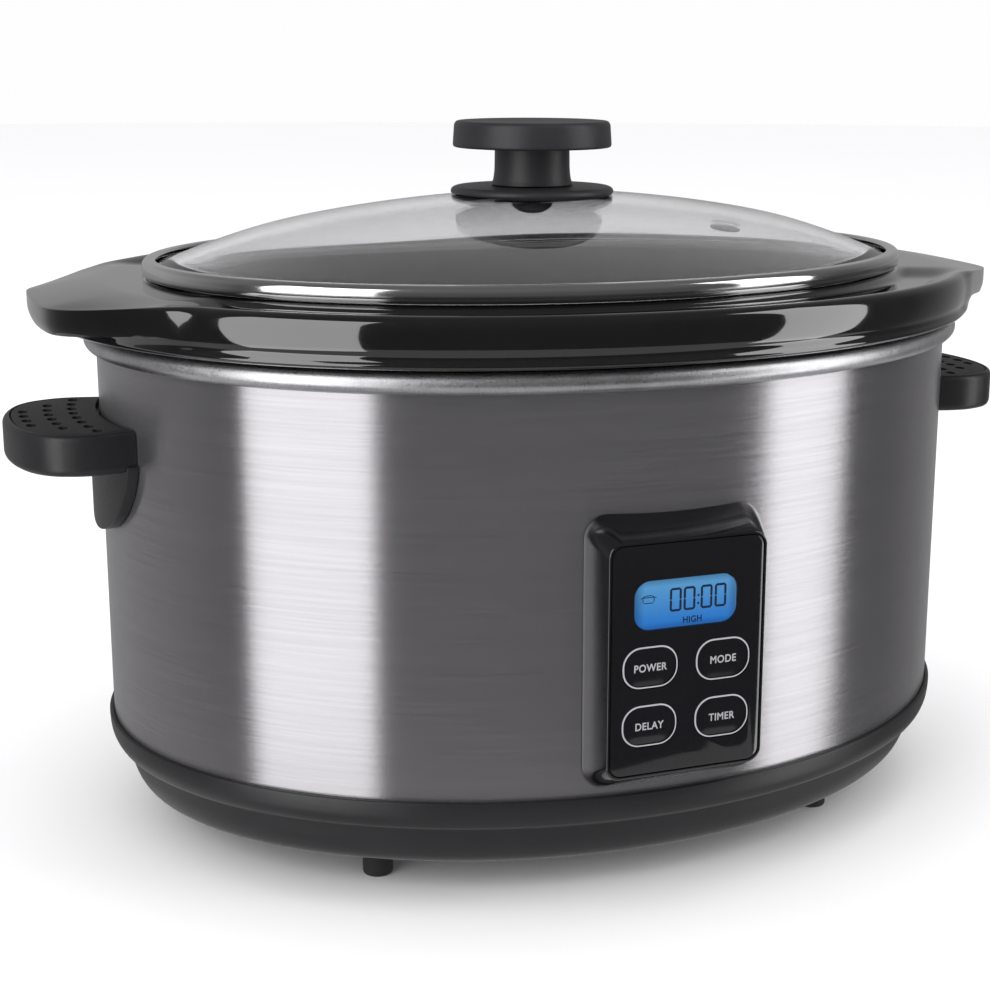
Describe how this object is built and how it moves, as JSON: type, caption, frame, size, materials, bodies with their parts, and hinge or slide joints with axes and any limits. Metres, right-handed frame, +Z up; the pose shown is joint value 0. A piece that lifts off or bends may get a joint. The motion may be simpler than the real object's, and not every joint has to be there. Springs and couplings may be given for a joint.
{
  "type": "slow cooker",
  "caption": "Oval slow cooker: a steel shell on a black base holds a lift-out glazed crock with a domed glass lid, with side grips and a timer panel at the front.",
  "frame": {"origin": "on the worktop, under the middle of the oval shell, at the level of the underside of the feet", "axes": "+Z up, +X along the long side to the viewer's right when facing the control panel, -Y towards the front"},
  "size_m": [0.369, 0.264, 0.2389],
  "materials": {
    "brushed_steel": "satin",
    "satin_bead": "satin",
    "polished_steel": "polished",
    "black_glaze": "gloss",
    "clear_glass": "gloss",
    "knob_plastic": "matte",
    "black_moulding": "satin",
    "grip_plastic": "matte",
    "gloss_black": "gloss",
    "lcd_blue": "gloss",
    "lamp_box": "matte",
    "foot_rubber": "matte",
    "black_rubber": "matte",
    "zinc_steel": "satin",
    "thin_aluminium": "satin",
    "mica": "matte",
    "fibre_wool": "matte",
    "circuit_board": "satin",
    "relay_case": "satin",
    "transformer_core": "matte",
    "pale_plastic": "matte"
  },
  "bodies": {
    "cooker_body": {"base_housing": "black_moulding", "base_screw_back_left": "zinc_steel", "base_screw_back_right": "zinc_steel", "base_screw_front_left": "zinc_steel", "base_screw_front_right": "zinc_steel", "board_screw_high": "zinc_steel", "board_screw_low": "zinc_steel", "buzzer": "black_rubber", "clamp_bolt": "zinc_steel", "control_board": "circuit_board", "cord_gland": "black_rubber", "foot_back_left": "foot_rubber", "foot_back_right": "foot_rubber", "foot_front_left": "foot_rubber", "foot_front_right": "foot_rubber", "heat_shield": "thin_aluminium", "heater_band": "mica", "heater_clamp": "zinc_steel", "insulation_blanket": "fibre_wool", "lcd_backlight": "lamp_box", "lcd_display": "lcd_blue", "left_grip_pad": "grip_plastic", "left_handle": "black_moulding", "left_handle_screw_back": "zinc_steel", "left_handle_screw_front": "zinc_steel", "liner": "satin_bead", "outer_shell": "brushed_steel", "panel_bezel": "gloss_black", "panel_window": "gloss_black", "power_board": "circuit_board", "relay": "relay_case", "ribbon_cable": "pale_plastic", "right_grip_pad": "grip_plastic", "right_handle": "black_moulding", "right_handle_screw_back": "zinc_steel", "right_handle_screw_front": "zinc_steel", "tact_switch_delay": "zinc_steel", "tact_switch_mode": "zinc_steel", "tact_switch_power": "zinc_steel", "tact_switch_timer": "zinc_steel", "temperature_sensor": "thin_aluminium", "terminal_block": "pale_plastic", "thermal_fuse": "zinc_steel", "tie_post_back_left": "zinc_steel", "tie_post_back_right": "zinc_steel", "tie_post_front_left": "zinc_steel", "tie_post_front_right": "zinc_steel", "transformer": "transformer_core"},
    "crock": {"crock": "black_glaze"},
    "lid": {"lid_glass": "clear_glass", "lid_rim": "polished_steel", "vent_grommet": "zinc_steel", "knob": "knob_plastic", "knob_base": "knob_plastic", "knob_washer": "black_rubber", "knob_screw": "zinc_steel"},
    "power_key": {"key_power": "gloss_black"},
    "mode_key": {"key_mode": "gloss_black"},
    "delay_key": {"key_delay": "gloss_black"},
    "timer_key": {"key_timer": "gloss_black"}
  },
  "joints": [
    {"name": "crock_lift", "type": "slide", "parent": "cooker_body", "child": "crock", "axis": [0, 0, 1], "range_m": [0, 0.2]},
    {"name": "lid_lift", "type": "slide", "parent": "crock", "child": "lid", "axis": [0, 0, 1], "range_m": [0, 0.15]},
    {"name": "power_press", "type": "slide", "parent": "cooker_body", "child": "power_key", "axis": [0, 1, 0], "range_m": [0, 0.0005], "stiffness_N_per_m": 2000},
    {"name": "mode_press", "type": "slide", "parent": "cooker_body", "child": "mode_key", "axis": [0, 1, 0], "range_m": [0, 0.0005], "stiffness_N_per_m": 2000},
    {"name": "delay_press", "type": "slide", "parent": "cooker_body", "child": "delay_key", "axis": [0, 1, 0], "range_m": [0, 0.0005], "stiffness_N_per_m": 2000},
    {"name": "timer_press", "type": "slide", "parent": "cooker_body", "child": "timer_key", "axis": [0, 1, 0], "range_m": [0, 0.0005], "stiffness_N_per_m": 2000}
  ]
}
